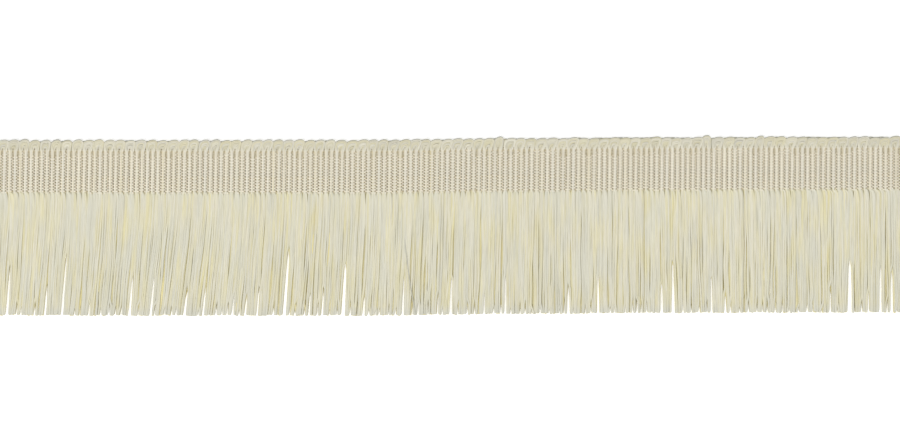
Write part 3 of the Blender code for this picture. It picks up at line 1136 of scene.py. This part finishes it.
def mix(nodes, links, factor, first, second, blend="MIX"):
    """A colour mix node's output. factor is a socket or a number, and each colour a socket or a colour."""
    node = nodes.new("ShaderNodeMix")
    node.data_type = "RGBA"
    node.blend_type = blend
    for place, value in zip(MIX_INPUTS, (factor, first, second)):
        if isinstance(value, bpy.types.NodeSocket):
            links.new(value, node.inputs[place])
        elif isinstance(value, float):
            node.inputs[place].default_value = value
        else:
            node.inputs[place].default_value = (*value, 1.0)
    return node.outputs[MIX_OUTPUT]


def computed(nodes, links, operation, *values):
    """The output of a math node that takes values."""
    node = nodes.new("ShaderNodeMath")
    node.operation = operation
    for socket, value in zip(node.inputs, values):
        links.new(value, socket)
    return node.outputs[0]


def ranged(nodes, links, value, source, target, interpolation="LINEAR"):
    """The output of a node that maps value from the range source to the range target."""
    node = nodes.new("ShaderNodeMapRange")
    node.interpolation_type = interpolation
    names = ("From Min", "From Max", "To Min", "To Max")
    for name, number in zip(names, (*source, *target)):
        node.inputs[name].default_value = number
    links.new(value, node.inputs["Value"])
    return node.outputs[0]


def attribute_parts(nodes, links, name):
    """The vector of one attribute, and its three parts."""
    attribute = nodes.new("ShaderNodeAttribute")
    attribute.attribute_name = name
    split = nodes.new("ShaderNodeSeparateXYZ")
    links.new(attribute.outputs["Vector"], split.inputs[0])
    return attribute.outputs["Vector"], *split.outputs


def stretched_noise(nodes, links, vector, stretch, scale):
    """A noise node that reads vector through a stretch."""
    mapping = nodes.new("ShaderNodeMapping")
    mapping.inputs["Scale"].default_value = stretch
    links.new(vector, mapping.inputs["Vector"])
    noise = nodes.new("ShaderNodeTexNoise")
    noise.inputs["Scale"].default_value = scale
    links.new(mapping.outputs["Vector"], noise.inputs["Vector"])
    return noise


def add_bump(nodes, links, height, strength, shader):
    """Gives the shader a fine relief."""
    bump = nodes.new("ShaderNodeBump")
    bump.inputs["Strength"].default_value = strength
    bump.inputs["Distance"].default_value = BUMP_DEPTH
    links.new(height, bump.inputs["Height"])
    links.new(bump.outputs[0], shader.inputs["Normal"])


def yarn_material(name):
    """Soft spun yarn: its own tint, painted shade on its flanks and from its tone, streaks of filaments
    along it, and a faint sheen.
    """
    look = YARN_LOOKS[name]
    material, nodes, links, shader = new_material(name)
    _, grey, cream, own_shade = attribute_parts(nodes, links, "yarn_tone")
    place, _, cosine, _ = attribute_parts(nodes, links, "yarn_place")
    noise = stretched_noise(nodes, links, place, FILAMENT_STRETCH, FILAMENT_SCALE)
    noise.inputs["Detail"].default_value = FILAMENT_DETAIL
    grain = noise.outputs[0]
    colour = mix(nodes, links, cream, look["ivory"], look["cream"])
    # painted shade: the flanks of every yarn turn towards the darker, yellower flank shade colour
    flank = computed(nodes, links, "ABSOLUTE", cosine)
    flank = ranged(nodes, links, flank, FLANK_RANGE, (0.0, FLANK_MOST), "SMOOTHSTEP")
    colour = mix(nodes, links, flank, colour, look["flank_shade"])
    colour = mix(nodes, links, grey, colour, look["grey"])
    streaks = ranged(nodes, links, grain, FILAMENT_RANGE, (1 - look["streak"], 1.0))
    shade = computed(nodes, links, "MULTIPLY", streaks, own_shade)
    grey_shade = nodes.new("ShaderNodeCombineColor")
    for channel in range(3):
        links.new(shade, grey_shade.inputs[channel])
    colour = mix(nodes, links, 1.0, colour, grey_shade.outputs[0], "MULTIPLY")
    links.new(colour, shader.inputs["Base Color"])
    roughness = (look["roughness"] - ROUGHNESS_SWING, look["roughness"] + ROUGHNESS_SWING)
    links.new(ranged(nodes, links, grain, (0.0, 1.0), roughness), shader.inputs["Roughness"])
    add_bump(nodes, links, grain, FILAMENT_BUMP, shader)
    shader.inputs["Sheen Weight"].default_value = look["sheen"]
    shader.inputs["Sheen Roughness"].default_value = SHEEN_ROUGHNESS
    shader.inputs["Specular IOR Level"].default_value = YARN_SPECULAR
    return material


def ground_material():
    """Inner threads that show between the ribs, dark tan: partly their own colour, partly painted shade."""
    material, nodes, links, shader = new_material("heading_threads_and_shade")
    place = nodes.new("ShaderNodeTexCoord").outputs["Object"]
    noise = stretched_noise(nodes, links, place, GROUND_STRETCH, GROUND_SCALE)
    links.new(mix(nodes, links, noise.outputs[0], *GROUND_COLOURS), shader.inputs["Base Color"])
    add_bump(nodes, links, noise.outputs[0], GROUND_BUMP, shader)
    shader.inputs["Roughness"].default_value = GROUND_ROUGHNESS
    shader.inputs["Specular IOR Level"].default_value = GROUND_SPECULAR
    return material


def table_material():
    """Matt white that glows a little, so that it stays white around the trim."""
    material, _, _, shader = new_material("white_table")
    shader.inputs["Base Color"].default_value = TABLE_COLOUR
    shader.inputs["Roughness"].default_value = TABLE_ROUGHNESS
    shader.inputs["Specular IOR Level"].default_value = 0.0
    shader.inputs["Emission Color"].default_value = WHITE
    shader.inputs["Emission Strength"].default_value = TABLE_GLOW
    return material


def dress(piece, material, slot, *nodes):
    """Gives a piece its material and its body, and hides the solids that it stands for. The slot is not
    used.
    """
    piece.data.materials.append(material)
    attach(piece, "root")
    if nodes:
        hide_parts(*nodes)


def area_light(name, place, size, energy, colour):
    """A round soft light that shines at the origin."""
    data = bpy.data.lights.new(name, "AREA")
    data.shape = "DISK"
    data.size = size
    data.energy = energy
    data.color = colour
    light = linked(name, data)
    light.location = place
    light.rotation_euler = (-Vector(place)).to_track_quat("-Z", "Y").to_euler()


def white_table():
    """The table that the trim lies on."""
    corners = ((-1, -1), (1, -1), (1, 1), (-1, 1))
    mesh = bpy.data.meshes.new("table")
    mesh.from_pydata([(x * TABLE_HALF, y * TABLE_HALF, TABLE_Z) for x, y in corners], [], [(0, 1, 2, 3)])
    mesh.materials.append(table_material())
    table = linked("table", mesh)


def studio():
    """The white table, the soft light and the camera."""
    scene = bpy.context.scene
    scene.view_settings.view_transform = "Standard"
    white_table()
    world = bpy.data.worlds.new("soft_room")
    world.use_nodes = True
    background = world.node_tree.nodes["Background"]
    background.inputs["Color"].default_value = WHITE
    background.inputs["Strength"].default_value = ROOM_STRENGTH
    scene.world = world
    for row in LIGHT_ROWS:
        area_light(*row)
    data = bpy.data.cameras.new("view")
    data.lens = LENS
    distance = LENS / data.sensor_width * VIEW_WIDTH
    camera = linked("view", data)
    camera.location = (TRIM_OFFSET[0], VIEW_MIDDLE_Y + TRIM_OFFSET[1], distance)
    scene.camera = camera


studio()
fringe_yarn = yarn_material("fringe_yarn")
inner_yarn = yarn_material("fringe_inner_yarn")
looped_yarn = yarn_material("looped_yarn")
rib_yarn = yarn_material("rib_yarn")
warp_thread = yarn_material("warp_thread")
ground = heading_ground()
dress(ground, ground_material(), "woven_heading", "heading")
rib_piece = ribs()
dress(rib_piece, rib_yarn, "woven_heading")
warp_even = warps(0, "warp_threads_even")
dress(warp_even, warp_thread, "woven_heading")
warp_odd = warps(1, "warp_threads_odd")
dress(warp_odd, warp_thread, "woven_heading")
loop_piece = loops()
dress(loop_piece, looped_yarn, "looped_yarn", "looped_edge")
layers = [fringe_layer(row, seed) for row, seed in zip(LAYER_ROWS, LAYER_SEEDS)]
for layer in layers:
    dress(layer, fringe_yarn if layer is layers[-1] else inner_yarn, "fringe_yarn", "fringe")
stray_piece = stray_yarns()
dress(stray_piece, fringe_yarn, "fringe_yarn")
